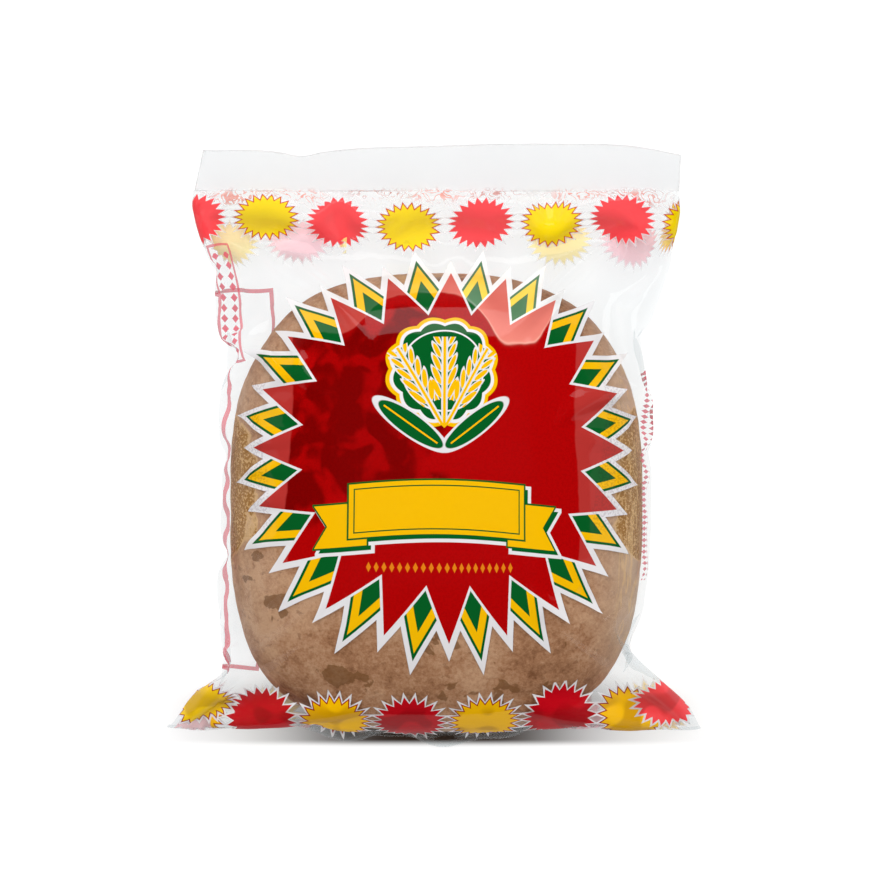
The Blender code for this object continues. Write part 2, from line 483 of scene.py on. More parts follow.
@dataclass
class Bun:
    """The bun: a closed crust with low lumps, pores and creases."""

    form: BunForm = field(default_factory=BunForm)
    finish: CrustFinish = field(default_factory=CrustFinish)
    fineness: int = 7                   # subdivisions of the ball that it starts from
    sink: float = 0.35 * MM             # how far the crust keeps inside the form
    lump: float = 0.55 * MM
    grain: float = 0.16 * MM

    def build(self, film: bpy.types.Object) -> bpy.types.Object:
        """Make the bun.

        Args:
            film: The bag, whose distance is stored for the clinging patches.

        Returns:
            The bun's object.
        """
        ball = bmesh.new()
        bmesh.ops.create_icosphere(ball, subdivisions=self.fineness, radius=1.0)
        mesh = mesh_from("bun", ball)
        directions = vertex_places(mesh)
        directions /= np.linalg.norm(directions, axis=1)[:, None]
        points = self.form.surface(directions)
        centre = np.array([self.form.centre_x, self.form.centre_y, self.form.rim])
        outward = points - centre
        outward[:, 2] *= 2.2
        outward /= np.linalg.norm(outward, axis=1)[:, None]
        points -= outward * self._relief(points)[:, None]
        mesh.vertices.foreach_set("co", points.ravel())
        mesh.shade_smooth()
        self._store_gap(mesh, points, film)
        mesh.materials.append(self.finish.material())
        return link("bun", mesh)

    def _relief(self, points: Array) -> Array:
        """Depth of lumps, pores and wrinkles below the form at each point."""
        depth = np.empty(len(points))
        for index, point in enumerate(points):
            spot = Vector(point)
            broad = noise.noise(spot * 42.0) * 0.6 + noise.noise(spot * 95.0) * 0.4
            pores = max(noise.noise(spot * 420.0 + Vector((7, 0, 0))), 0.0) ** 2
            wrinkles = 1 - abs(noise.noise(spot * 160.0 + Vector((0, 9, 0)))) * 3
            depth[index] = self.lump * (0.5 - broad) + self.grain * (pores * 2.2 + max(wrinkles, 0.0) * 0.8)
        return np.maximum(depth + self.sink - self.lump * 0.2, 0.08 * MM)

    @staticmethod
    def _store_gap(mesh: bpy.types.Mesh, points: Array, film: bpy.types.Object) -> None:
        """Store the distance from each point of the crust to the film, in millimetres."""
        tree = BVHTree.FromPolygons([v.co[:] for v in film.data.vertices],
                                    [p.vertices[:] for p in film.data.polygons])
        gaps = np.array([tree.find_nearest(Vector(point))[3] for point in points])
        store_number(mesh, "film_gap", np.minimum(gaps / MM, 10.0))


# ---------------------------------------------------------------------------------------------------------
# The film's form
# ---------------------------------------------------------------------------------------------------------

def smooth_curve(stations: Sequence[tuple[float, float]], places: Array) -> Array:
    """Run a smooth curve through stations.

    Args:
        stations: Pairs of a place and a value, in order.
        places: Where to read the curve.

    Returns:
        The curve's values.
    """
    points = np.array(stations)
    tangents = np.gradient(points[:, 1], points[:, 0])
    index = np.clip(np.searchsorted(points[:, 0], places) - 1, 0, len(points) - 2)
    start, end = points[index], points[index + 1]
    step = end[:, 0] - start[:, 0]
    t = (places - start[:, 0]) / step
    return ((2 * t**3 - 3 * t**2 + 1) * start[:, 1] + (t**3 - 2 * t**2 + t) * step * tangents[index]
            + (3 * t**2 - 2 * t**3) * end[:, 1] + (t**3 - t**2) * step * tangents[index + 1])


@dataclass(frozen=True)
class BagOutline:
    """The bag's half widths, as seen from above, at places along +Y."""

    left: tuple[tuple[float, float], ...] = (
        (-76.5, 70.4), (-69.0, 66.0), (-61.0, 60.0), (-56.0, 56.0), (-46.0, 56.6), (-8.0, 55.6), (13.0, 56.0),
        (21.0, 54.4), (33.0, 56.9), (45.0, 57.7), (52.0, 60.3), (58.0, 62.4), (76.5, 62.7))
    right: tuple[tuple[float, float], ...] = (
        (-76.5, 69.4), (-69.0, 67.0), (-61.0, 58.7), (-53.5, 51.2), (-42.0, 55.0), (-32.0, 56.8), (4.0, 57.2),
        (15.0, 55.9), (22.5, 54.3), (29.0, 55.4), (40.0, 59.0), (53.0, 63.0), (76.5, 63.5))
    samples: int = 400

    def table(self) -> tuple[Array, Array, Array]:
        """Work out both sides' half widths on smooth curves.

        Returns:
            Places along +Y, and the left and right half widths there, in metres.
        """
        ys = np.linspace(self.left[0][0], self.left[-1][0], self.samples)
        return ys * MM, smooth_curve(self.left, ys) * MM, smooth_curve(self.right, ys) * MM


@dataclass(frozen=True)
class Stage:
    """One pass of the film's settling, at one size of cell."""

    cell: float
    rounds: int
    air_push: float
    stir: float                         # height of the first unevenness
    seed: int
    reach: tuple[int, ...] = (2,)       # how many cells apart points resist folding together
    growing: float = 0.0                # share of the rounds in which the bun rises and the ends close in


@dataclass
class FilmTube:
    """A flat tube of film that is sealed at both ends, and its settling round the bun."""

    bun: BunForm = field(default_factory=BunForm)
    outline: BagOutline = field(default_factory=BagOutline)
    panel: float = 134.0 * MM           # nominal width of one side, which sets the number of columns
    top_width: float = 129.0 * MM       # lay-flat width at the top seal
    body_width: float = 129.5 * MM
    bottom_width: float = 140.0 * MM
    body_length: float = 158.0 * MM     # between the seals
    top_y: float = 66.0 * MM
    bottom_y: float = -74.8 * MM
    top_corners: tuple[float, float] = (-62.6 * MM, 63.5 * MM)
    bottom_corners: tuple[float, float] = (-70.0 * MM, 69.4 * MM)
    creased: float = 15.0 * MM          # how far from each seal the film stays folded flat at the sides
    crease_hold: float = 0.35
    top_height: float = 14.0 * MM
    bottom_height: float = 15.0 * MM
    ear_height: float = 11.0 * MM
    ear_start: float = 45.0 * MM        # how far from the middle the bottom fold starts to droop
    wave: float = 2.2 * MM
    waves: float = 2.3
    wave_start: float = 0.4
    ripples: int = 14                   # waves that make up the first unevenness
    ripple_length: float = 50.0 * MM
    crinkle: float = 0.6 * MM           # of the bottom fold
    fold_wave: float = 1.8 * MM         # how far the bottom fold wanders in and out
    seal_gap: float = 0.12 * MM         # half the distance between the two films in a seal
    contents: float = 322e-6            # volume of the bun, in cubic metres
    air: float = 49e-6                  # volume of the air with it
    wall: float = 0.5                   # how firmly the outline holds the sides
    cling: float = 0.3 * MM
    floor: float = 0.2 * MM
    fold_resistance: float = 0.1
    volume_rounds: int = 4              # how often the volume is measured
    volume_slack: float = 8e-6          # how far off the volume is at which the air pushes with full force
    stages: tuple[Stage, ...] = (
        Stage(4.0 * MM, 700, 0.03 * MM, 0.15 * MM, 3, growing=0.7),
        Stage(2.0 * MM, 500, 0.012 * MM, 0.12 * MM, 5),
        Stage(0.95 * MM, 320, 0.004 * MM, 0.04 * MM, 9, reach=(2, 4)),
    )
    walls: tuple[Array, Array, Array] = field(init=False)       # places along Y, and the sides' X there
    half: int = field(init=False)                       # columns from the left crease to the right one
    rows: int = field(init=False)
    down: Array = field(init=False)                     # of each row, as a share of the film's length
    share: Array = field(init=False)                    # of each column, from left to right
    side: Array = field(init=False)                     # of each column: 1 front, -1 back, 0 crease
    length_down: float = field(init=False)              # unstretched, as the next two are
    length_round: Array = field(init=False)
    length_across: Array = field(init=False)

    def settle(self) -> Array:
        """Settle the film, from coarse cells to fine ones.

        Returns:
            The places of the film's points: rows from the top seal to the bottom one, columns round the tube
            from the left side over the front to the right side and back behind.
        """
        ys, left, right = self.outline.table()
        self.walls = (ys, -left, right)
        points: Optional[Array] = None
        for stage in self.stages:
            self._lay_out(stage.cell)
            points = self._flat() if points is None else self._refined(points)
            points[..., 2] += self._unevenness(stage)
            points = self._relax(points, stage)
            LOG.info("film settled at %.2f mm cells: %d points", stage.cell / MM, points.size // 3)
        return points

    def lay_flat_width(self, share: Array) -> Array:
        """Width of the flat tube at a share of its length from the top seal."""
        return (self.top_width + (self.body_width - self.top_width) * np.minimum(share / 0.35, 1)
                + (self.bottom_width - self.body_width) * np.clip((share - 0.75) / 0.25, 0, 1) ** 2)

    def _lay_out(self, cell: float) -> None:
        """Set the rows, columns and unstretched lengths for a size of cell."""
        self.half = int(round(self.panel / cell / 2)) * 2
        self.rows = int(round(self.body_length / cell / 2)) * 2 + 2
        self.down = np.linspace(0, 1, self.rows)
        self.length_down = self.body_length / (self.rows - 1)
        self.length_round = (self.lay_flat_width(self.down) / self.half)[:, None]
        middle = (self.length_round[1:] + self.length_round[:-1]) / 2
        self.length_across = np.hypot(middle, self.length_down)
        column = np.arange(2 * self.half)
        self.share = np.where(column <= self.half, column / self.half, 2 - column / self.half)
        self.side = np.where(column <= self.half, 1.0, -1.0)
        self.side[[0, self.half]] = 0

    def _ends(self, closed: float) -> tuple[Array, Array]:
        """Places of the two sealed rows.

        Args:
            closed: 0 with the tube flat, 1 with the ends where they finish.

        Returns:
            The top row and the bottom row.
        """
        share = self.share
        slack = (self.body_length - (self.top_y - self.bottom_y)) / 2 * (1 - closed)
        left, right = self.top_corners
        x = (share - 0.5) * self.top_width * (1 - closed) + (left + (right - left) * share) * closed
        wave = self.wave * np.sin(2 * np.pi * self.waves * share + self.wave_start)
        z = self.bun.rim + (self.top_height - self.bun.rim) * closed
        z = z + closed * wave * np.sqrt(np.abs(np.sin(np.pi * share)))
        top = np.stack([x, np.full_like(x, self.top_y + slack), z + self.side * self.seal_gap], -1)
        left, right = self.bottom_corners
        x = (share - 0.5) * self.bottom_width * (1 - closed) + (left + (right - left) * share) * closed
        droop = np.clip((np.abs(x) - self.ear_start) / (right - self.ear_start), 0, 1) ** 1.3
        drooped = (self.ear_height - self.bottom_height) * droop
        z = self.bun.rim + (self.bottom_height - self.bun.rim + drooped) * closed
        along = closed * self.fold_wave * (0.6 + np.sin(share * 11.5 - 0.9) * np.sin(np.pi * share) ** 0.5)
        along = along + self.crinkle * closed * (np.sin(share * 31 + 0.5) + 0.7 * np.sin(share * 53 + 2)) / 3
        up = self.crinkle * closed * (np.sin(share * 37 + 1.5) + 0.7 * np.sin(share * 61 + 0.3)) / 2
        bottom = np.stack([x, self.bottom_y - slack + along, z + up + self.side * self.seal_gap], -1)
        return top, bottom

    def _flat(self) -> Array:
        """Places of the points with the tube lying flat at the height of the bun's rim."""
        x = (self.share[None, :] - 0.5) * self.lay_flat_width(self.down)[:, None]
        slack = (self.body_length - (self.top_y - self.bottom_y)) / 2
        y = np.broadcast_to((self.top_y + slack - self.down * self.body_length)[:, None], x.shape)
        z = np.broadcast_to(self.bun.rim + self.side * 1.0 * MM, x.shape)
        return np.stack([x, y, z], -1)

    def _refined(self, coarse: Array) -> Array:
        """Carry a coarser layout's points over to the present one."""
        rows, columns = coarse.shape[:2]
        place = self.down * (rows - 1)
        row = np.clip(place.astype(int), 0, rows - 2)
        part = (place - row)[:, None, None]
        points = coarse[row] * (1 - part) + coarse[row + 1] * part
        place = np.arange(2 * self.half) * columns / (2 * self.half)
        column = place.astype(int)
        part = (place - column)[None, :, None]
        return points[:, column % columns] * (1 - part) + points[:, (column + 1) % columns] * part

    def _unevenness(self, stage: Stage) -> Array:
        """A small seeded waviness that lets the film choose where to crease."""
        draw = np.random.default_rng(stage.seed)
        around = np.arange(2 * self.half)[None, :] / self.half
        along = self.down[:, None] * self.body_length / self.ripple_length
        total = np.zeros((self.rows, 2 * self.half))
        for _ in range(self.ripples):
            turns = draw.integers(2, 16)
            total += np.sin(np.pi * turns * around + draw.uniform(2, 14) * along + draw.uniform(0, 2 * np.pi))
        return stage.stir * total / 4

    def _volume(self, points: Array) -> float:
        """Volume inside the tube."""
        beside = np.roll(points, -1, 1)
        a, b, c, d = points[:-1], beside[:-1], points[1:], beside[1:]
        area = np.cross(c - b, d - a) / 2
        return float(np.einsum("ijk,ijk", a + b + c + d, area) / 12)

    def _inflate(self, points: Array, push: float) -> None:
        """Push the film outwards everywhere by the same small step."""
        across = np.roll(points, -1, 1) - np.roll(points, 1, 1)
        along = np.zeros_like(points)
        along[1:-1] = points[2:] - points[:-2]
        outward = np.cross(along, across)
        points += push * outward / (np.linalg.norm(outward, axis=-1, keepdims=True) + 1e-12)

    @staticmethod
    def _pair(first: Array, second: Array, length: Any) -> Array:
        """How far to move two points towards each other so that they are a length apart."""
        apart = second - first
        distance = np.sqrt(np.einsum("ijk,ijk->ij", apart, apart)) + 1e-12
        return apart * (0.5 * (1 - length / distance))[..., None]

    def _keep_lengths(self, points: Array) -> None:
        """Bring the film's cells back to their unstretched size, a family of edges at a time."""
        pairs = ((points[:, 0::2], points[:, 1::2]), (points[:, 1:-1:2], points[:, 2::2]),
                 (points[:, -1:], points[:, :1]))
        for first, second in pairs:
            move = self._pair(first, second, self.length_round)
            first += move
            second -= move
        for start in (0, 1):
            first, second = points[start:-1:2], points[start + 1::2]
            move = self._pair(first, second, self.length_down)
            first += move
            second -= move
        for start in (0, 1):
            first, second = points[start:-1:2], points[start + 1::2]
            for turn in (1, -1):
                move = self._pair(first, np.roll(second, -turn, 1), self.length_across[start::2])
                first += move
                second -= np.roll(move, turn, 1)

    def _resist_folding(self, points: Array, reach: int) -> None:
        """Push points apart that folding has brought nearer than they lie in the flat film."""
        apart = np.roll(points, -reach, 1) - points
        move = self._unfold(apart, reach * self.length_round)
        points += move
        points -= np.roll(move, reach, 1)
        move = self._unfold(points[reach:] - points[:-reach], reach * self.length_down)
        points[:-reach] += move
        points[reach:] -= move

    def _unfold(self, apart: Array, length: Any) -> Array:
        """How far to move points apart that are nearer than a length, from the way between them."""
        distance = np.linalg.norm(apart, axis=-1) + 1e-12
        return apart * (self.fold_resistance * np.minimum(1 - length / distance, 0))[..., None]

    def _hold_creases(self, points: Array) -> None:
        """Keep the folded sides of the film out to the outline near both seals."""
        ys, left, right = self.walls
        rows = int(self.creased / self.length_down)
        for near, seal in ((points[:rows], self.top_y), (points[-rows:], self.bottom_y)):
            for column, side in ((0, left), (self.half, right)):
                crease = near[:, column]
                hold = self.crease_hold * np.clip(1.3 - np.abs(crease[:, 1] - seal) / self.creased, 0, 1)
                crease[:, 0] += hold * (np.interp(crease[:, 1], ys, side) - crease[:, 0])

    def _relax(self, points: Array, stage: Stage) -> Array:
        """Let the film settle for a stage's rounds."""
        push = 0.0
        ys, left, right = self.walls
        front, back = points[:, 1:self.half], points[:, :self.half:-1]
        for turn in range(stage.rounds):
            grown = 1.0
            if stage.growing:
                grown = min(1.0, 0.02 + turn / (stage.rounds * stage.growing))
            if turn % self.volume_rounds == 0:
                short = self.contents * grown + self.air - self._volume(points)
                push = stage.air_push * float(np.clip(short / self.volume_slack, -1, 1))
            self._inflate(points, push)
            self._keep_lengths(points)
            for reach in stage.reach:
                self._resist_folding(points, reach)
            self.bun.push_out(points, self.cling, grown)
            np.maximum(points[..., 2], self.floor, out=points[..., 2])
            overlap = np.minimum(front[..., 2] - back[..., 2] - 2 * self.seal_gap, 0) / 2
            front[..., 2] -= overlap
            back[..., 2] += overlap
            if grown >= 1:
                x = points[..., 0]
                x += self.wall * np.maximum(np.interp(points[..., 1], ys, left) - x, 0)
                x -= self.wall * np.maximum(x - np.interp(points[..., 1], ys, right), 0)
                self._hold_creases(points)
            points[0], points[-1] = self._ends(grown)
        return points


# ---------------------------------------------------------------------------------------------------------
# The film's print and finish
# ---------------------------------------------------------------------------------------------------------

class Ink(Enum):
    """The printing inks, as they look on the film."""

    RED = srgb(179, 3, 5)
    # painted backlight: the red painted brighter where it is lit from behind through clear film
    BACKLIT_RED = srgb(254, 70, 76)
    DEEP_RED = srgb(192, 8, 24)
    PALE_RED = srgb(255, 200, 210)
    YELLOW = srgb(250, 190, 4)
    # painted backlight: the yellow painted brighter where it is lit from behind through clear film
    BACKLIT_YELLOW = srgb(255, 221, 2)
    CORNER_YELLOW = srgb(255, 208, 4)
    PALE_YELLOW = srgb(255, 232, 140)
    LINE_RED = srgb(160, 30, 10)
    # painted backlight: the outline red painted brighter where it is lit from behind through clear film
    BACKLIT_LINE = srgb(206, 70, 26)
    RULE_RED = srgb(224, 84, 104)
    SCRIBBLE = srgb(240, 128, 104)
    GREEN = srgb(4, 92, 36)
    AMBER = srgb(228, 132, 22)
    WHITE = srgb(238, 236, 238)


class Tone(Enum):
    """The colours that the crust and the crimped film lend to the inks, and the painted fold shade, sheen and
    highlights laid over them.
    """

    # painted shade of the folds
    FOLD_SHADE = srgb(146, 112, 100)
    CLINGING = srgb(178, 124, 124)
    SPECKED = srgb(150, 140, 150)
    FLANK = srgb(190, 176, 186)
    # painted sheen and highlights where the film stands off the crust
    SIDE_SHEEN = srgb(255, 205, 190)
    LIFT_HIGHLIGHT = (0.6, 0.56, 0.52)
    HIGHLIGHT = srgb(240, 246, 238)
    RED_HIGHLIGHT = srgb(255, 196, 176)
    CRIMPED = srgb(248, 248, 248)


class Zone(Flag):
    """The parts of the design, which lie on different stretches of the film."""

    BARE = 0
    ROWS = auto()
    BURST = auto()
    PANELS = auto()


@dataclass(frozen=True)
class Burst:
    """A burst: a star with many straight-sided points."""

    points: int
    tip: float
    valley: float
    turn: float = 0.0

    def grown(self, tip: float, valley: float) -> "Burst":
        """Reach further out, by some millimetres at the tips and some in the valleys."""
        return Burst(self.points, self.tip + tip, self.valley + valley, self.turn)

    def distance(self, radius: Value, angle: Value) -> Value:
        """Distance to the burst's edge, negative inside.

        Args:
            radius: Millimetres from its centre.
            angle: Angle round its centre.

        Returns:
            The distance in millimetres.
        """
        half_sector = math.pi / self.points
        fold = (angle + self.turn).back_and_forth(half_sector)
        valley_x, valley_y = self.valley * math.cos(half_sector), self.valley * math.sin(half_sector)
        lean = math.atan2(self.tip - valley_x, valley_y)
        return radius.graph.math("MULTIPLY_ADD", radius, (fold - lean).cosine(), -self.tip * math.cos(lean))


class Print:
    """The layers of ink on the film, put down one over another."""

    EDGE = 0.09                         # mm over which an ink's edge fades
    SOLID = 0.97                        # how well a full ink covers
    UNDER = 0.96                        # how well an ink with another over it covers
    EDGING = 0.9                        # how well a white edging covers

    def __init__(self, graph: Graph) -> None:
        """Start with bare film."""
        self.graph = graph
        self.colour: Any = Ink.WHITE.value
        self.cover: Operand = 0.0

    def inside(self, distance: Value, grow: float = 0.0) -> Value:
        """Give 1 inside a shape that is grown by some millimetres."""
        return distance.line(-1 / self.EDGE, grow / self.EDGE + 0.5, clamp=True)

    def lay(self, mask: Value, ink: Any, strength: Operand = 1.0) -> None:
        """Put down a layer.

        Args:
            mask: 1 where the layer is.
            ink: Its ink, or a colour or its socket.
            strength: How well it covers.
        """
        colour = ink.value if isinstance(ink, Ink) else ink
        self.colour = self.graph.blend(mask, self.colour, colour)
        if isinstance(self.cover, Value):
            self.cover = self.graph.math("MULTIPLY_ADD", mask, strength - self.cover, self.cover)
        else:
            self.cover = mask * strength

    def fill(self, distance: Value, ink: Ink, strength: float, grow: float = 0.0) -> None:
        """Put down a layer inside a shape that is grown by some millimetres."""
        self.lay(self.inside(distance, grow), ink, strength)

    def tint(self, share: Value, tone: Any, kind: str = "MIX") -> None:
        """Blend a colour into the inks, which cover as well as before."""
        self.colour = self.graph.blend(share, self.colour, tone, kind)


@dataclass(frozen=True)
class Row:
    """A row of small bursts round the tube."""

    place: float                        # along the film from its top edge, in mm
    phase: float                        # of its bursts round the tube, as a share of their pitch
    burst: Burst
    squat: float                        # how much wider than tall a burst is
    red: Ink
    gold: Ink
    line: Ink
    halo: float                         # how well its white edging covers
    back_drop: float                    # how much further down the row lies on the back, in mm
    bow: float                          # how much further down it lies at the bag's sides, in mm
    heave: tuple[float, float]          # where on the front a burst is lifted, and how far, in mm
    crease_gap: float                   # how far it stops short of both creases, in mm


@dataclass(frozen=True)
class Artwork:
    """A plain festive design: a large burst with wheat ears and a blank ribbon, and rows of small bursts."""

    centre: tuple[float, float]         # of the large burst on the flat film, in mm
    rows: tuple[Row, ...]
    side: float                         # from the front's middle to a side of the bag, in mm
    seal: float                         # from the film's top edge to the top seal's lower line, in mm
    pitch: float = 18.9                 # from one small burst of a row to the next
    corner: tuple[float, float] = (60.0, -1.2)      # of a corner burst: across, and past the bottom row
    corner_burst: Burst = Burst(22, 8.8, 6.7)
    corner_halo: Burst = Burst(22, 10.9, 8.3)
    corner_slant: float = 0.42
    corner_squat: float = 1.34          # how much wider than tall a corner burst is
    stretch: tuple[float, float] = (1.052, 0.936)       # of the large burst's left and right half
    squareness: float = 0.03            # how much further out it reaches towards its four corners
    spread: float = 0.10                # how much further out its inner parts lie towards the sides
    points: int = 20
    seam_clearance: float = 24.0        # from the seam at the back's middle to the nearest small burst

    def zones(self, low: Array, high: Array) -> Array:
        """Tell which parts of the design reach pieces of film, with a little to spare.

        Args:
            low: Least distance across and along the flat film of each piece, in mm.
            high: Greatest distances.

        Returns:
            A Zone's value for each piece.
        """
        top, bottom = self.rows
        middle = (low + high) / 2
        behind = np.abs(middle[:, 0]) > self.side - 1.0
        rows = low[:, 1] < top.place + 9.5 + behind * (top.back_drop + 1.0)
        rows |= high[:, 1] > bottom.place - 12.0
        off = middle - self.centre
        burst = ~behind & (np.hypot(off[:, 0] / 1.06, off[:, 1]) < 60.0)
        left, right = middle[:, 0] + self.side, self.side - middle[:, 0]     # from either crease
        panels = (np.abs(left + 5.0) < 18.0) | (np.abs(right - 3.0) < 5.0)
        panels &= np.abs(middle[:, 1] - 88.0) < 64.0
        return rows * Zone.ROWS.value + burst * Zone.BURST.value + panels * Zone.PANELS.value

    def draw(self, graph: Graph, flat: Any, ripple: Value, zone: Zone) -> Print:
        """Lay down the inks of some parts of the design.

        Args:
            graph: The film's graph.
            flat: The flat film's coordinates.
            ripple: Soft speckle that the film's relief also has.
            zone: The parts.

        Returns:
            The finished print.
        """
        across, down = graph.millimetres(flat)
        sheet = Print(graph)
        if Zone.BURST in zone:
            x, y = across - self.centre[0], self.centre[1] - down
            x = x / (x > 0.0).line(self.stretch[1] - self.stretch[0], self.stretch[0])
            red = self._large_burst(sheet, x, y)
            self._weather(sheet, flat, (x, y), red)
            self._ornament(sheet, x, y)
        if Zone.PANELS in zone:
            self._panels(sheet, across, down)
        if Zone.ROWS in zone:
            off = abs(graph.speckle(flat, 300.0, 1.0, 0.6, 1.2) - 0.5)     # scribbled red threads
            gathered = across.back_and_forth(19.0).hill(0.0, 8.0) * (down - self.seal).hill(1.9, 2.4)
            sheet.lay((off < 0.05) * gathered, Ink.SCRIBBLE, 0.7)
            for row in self.rows:
                self._row(sheet, across, down, row)
            self._corner_bursts(sheet, across, down)
            # painted shade of folds, at random spots, from just above the bottom row to the bottom end
            fold_shade = ripple.ramp(0.5, 0.62) * (down - self.rows[-1].place).ramp(-7.0, -3.0)
            sheet.tint(fold_shade * 0.4, Tone.FOLD_SHADE.value, "MULTIPLY")
        return sheet

    def _weather(self, sheet: Print, flat: Any, place: tuple[Value, Value], red: Value) -> None:
        """Darken the large burst where its film clings to the crust, and paint a sheen and highlights on it
        where the film stands off.

        Args:
            sheet: The print.
            flat: The flat film's coordinates.
            place: Millimetres to the right of the burst's centre and above it.
            red: 1 on the burst's red ink.
        """
        graph = sheet.graph
        x, y = place
        # where the film leaves the crust: wavy lines down both sides and two arches above
        sway = (y / 9.0 + 0.6).sine() * 0.8 + graph.speckle(flat, 60.0, 3.0, 0.5) * 2.4
        sides = (abs(x + 2.2) + sway).ramp(38.4, 39.0)
        arch = 41.5 - x.hill(-29.0, 9.5) * 13.0 - x.hill(18.5, 9.5) * 16.5
        arch = arch + graph.speckle(flat, 140.0, 2.0) * 2.0
        above = y - arch
        top = above.ramp(0.0, 0.7)
        rise = above.ramp(0.0, 12.0)
        # painted highlight where the film stands off at the top: a pale veil in lobes, and a bright line
        # along its lower edge
        veil_highlight = top * (x.hill(20.0, 11.0) * 0.52 + x.hill(3.0, 7.0) * 0.28 + 0.18) * (1 - rise * 0.35)
        rim_highlight = above.hill(0.5, 0.45) * x.hill(17.0, 12.0) * 0.3
        clings = (1 - sides) * (1 - top)
        # darker, blotchy patches where it clings, most of them at the left
        blots = graph.speckle(flat, 150.0, 1.5, 0.5, 0.3)
        patch = graph.speckle(flat, 42.0, 2.0, 0.5, 0.8)
        reach = x.ramp(14.0, -12.0) * 0.55 - abs(y - 8.0).ramp(18.0, 36.0) * 0.5
        dark = clings * red * (patch + reach).ramp(0.80, 0.90) * (1 - blots.ramp(0.46, 0.66) * 0.75)
        sheet.tint(dark * 0.95, Tone.CLINGING.value, "MULTIPLY")
        speck = graph.speckle(flat, 1450.0, 1.0, 0.6).ramp(0.46, 0.6)
        sheet.tint(clings * red * speck * 0.14, Tone.SPECKED.value, "MULTIPLY")
        flanks = (abs(x + 2.2) - sway * 2.0).ramp(41.0, 42.0) * (1 - abs(y).ramp(18.0, 24.0))
        sheet.tint(flanks * speck * 0.4, Tone.FLANK.value, "MULTIPLY")
        # painted sheen on the red where the film stands off at the sides
        sheet.tint(sides * red * 0.055, Tone.SIDE_SHEEN.value)
        # painted highlights over the lifted film
        sheet.tint(veil_highlight, Tone.LIFT_HIGHLIGHT.value, "DODGE")
        highlight_colour = graph.blend(red, Tone.HIGHLIGHT.value, Tone.RED_HIGHLIGHT.value)
        sheet.tint(veil_highlight * red.line(0.4, 0.24) + rim_highlight, highlight_colour)

    def _row(self, sheet: Print, across: Value, down: Value, row: Row) -> None:
        """Lay a row of small bursts round the tube, red and yellow in turn, paler on the back.

        Args:
            sheet: The print.
            across: Millimetres round the tube from the front's middle.
            down: Millimetres along the film from its top edge.
            row: The row.
        """
        graph = sheet.graph
        aside = abs(across)
        behind = aside.ramp(self.side, self.side + 9.0)
        off_creases = abs(aside - self.side) > row.crease_gap
        clear = (aside < 2 * self.side - self.seam_clearance) * off_creases
        lifted_at, lift = row.heave
        sag = aside * aside * (row.bow / self.side**2) * (1 - behind) - across.hill(lifted_at, 12.0) * lift
        y = (row.place - down + behind * row.back_drop + sag) * row.squat
        place = (across + behind * (across > 0.0).line(18.0, -9.0)).line(1 / self.pitch, row.phase)
        x = (place % 1.0).line(self.pitch, -self.pitch / 2)
        yellow = (place / 2) % 1.0 > 0.5
        radius, angle = graph.polar(x, y)
        distance = row.burst.distance(radius, angle)
        near = (abs(y) < row.burst.tip + 2.2) * clear
        halo = row.burst.grown(2.3, 1.1).distance(radius, angle)
        sheet.lay(sheet.inside(halo) * near * behind.line(-0.8, 1.0), Ink.WHITE, row.halo)
        soft = behind.line(-0.85, 1.0)
        strength = behind.line(-0.27, 0.97)
        outer = sheet.inside((distance - 0.3) * soft) * near
        red_side = graph.blend(behind, row.red.value, Ink.PALE_RED.value)
        line = graph.blend(behind, row.line.value, Ink.PALE_YELLOW.value)
        sheet.lay(outer, graph.blend(yellow, red_side, line), strength)
        core = sheet.inside(distance * soft) * near * yellow
        sheet.lay(core, graph.blend(behind, row.gold.value, Ink.PALE_YELLOW.value), strength)

    def _corner_bursts(self, sheet: Print, across: Value, down: Value) -> None:
        """Lay the slanting burst on each bottom corner: yellow on the left, red on the right."""
        x, y = abs(across) - self.corner[0], self.rows[-1].place + self.corner[1] - down
        cos, sin = math.cos(self.corner_slant), math.sin(self.corner_slant)
        radius, angle = sheet.graph.polar(x * cos - y * sin, (x * sin + y * cos) * self.corner_squat)
        right = across > 0.0
        sheet.fill(self.corner_halo.distance(radius, angle), Ink.WHITE, 0.8)
        edge = self.corner_burst.distance(radius, angle)
        # the right corner burst's outer red is painted brighter, as lit from behind
        outer = sheet.graph.blend(right, Ink.LINE_RED.value, Ink.BACKLIT_RED.value)
        sheet.lay(sheet.inside(edge, 0.3), outer, Print.SOLID)
        sheet.lay(sheet.inside(edge) * (1 - right), Ink.CORNER_YELLOW, Print.SOLID)

    def _panels(self, sheet: Print, across: Value, down: Value) -> None:
        """Lay a band of lozenges at the left, a frame on the back and ticks at the right, all in red."""
        left = across + self.side
        leaning = left - (down - 40.0) * 0.12
        self._frame(sheet, leaning, down, (3.8, 10.4, 27.5, 62.0), 0.75)
        self._frame(sheet, left, down, (-20.6, 5.4, 41.0, 147.0), 1.1)
        self._marks(sheet, abs(leaning - 7.1) - 1.45, down, (30.0, 60.0), (2.8, 0.9, 1.15), 0.85)
        right = self.side - across
        self._marks(sheet, abs(right - 3.5) - 1.15, down, (64.0, 120.0), (1.5, 0.95, 0.62), 0.8)

    @staticmethod
    def _frame(sheet: Print, across: Value, down: Value, box: tuple[float, float, float, float],
               line: float) -> None:
        """Lay a red frame.

        Args:
            sheet: The print.
            across: Millimetres across.
            down: Millimetres along the film.
            box: Its left and right side and its top and bottom.
            line: Width of its line.
        """
        left, right, top, bottom = box
        edge = (abs(across - (left + right) / 2) - (right - left) / 2).at_least(
            abs(down - (top + bottom) / 2) - (bottom - top) / 2)
        sheet.lay(sheet.inside(edge) * (1 - sheet.inside(edge, -line)), Ink.RULE_RED, 0.7)

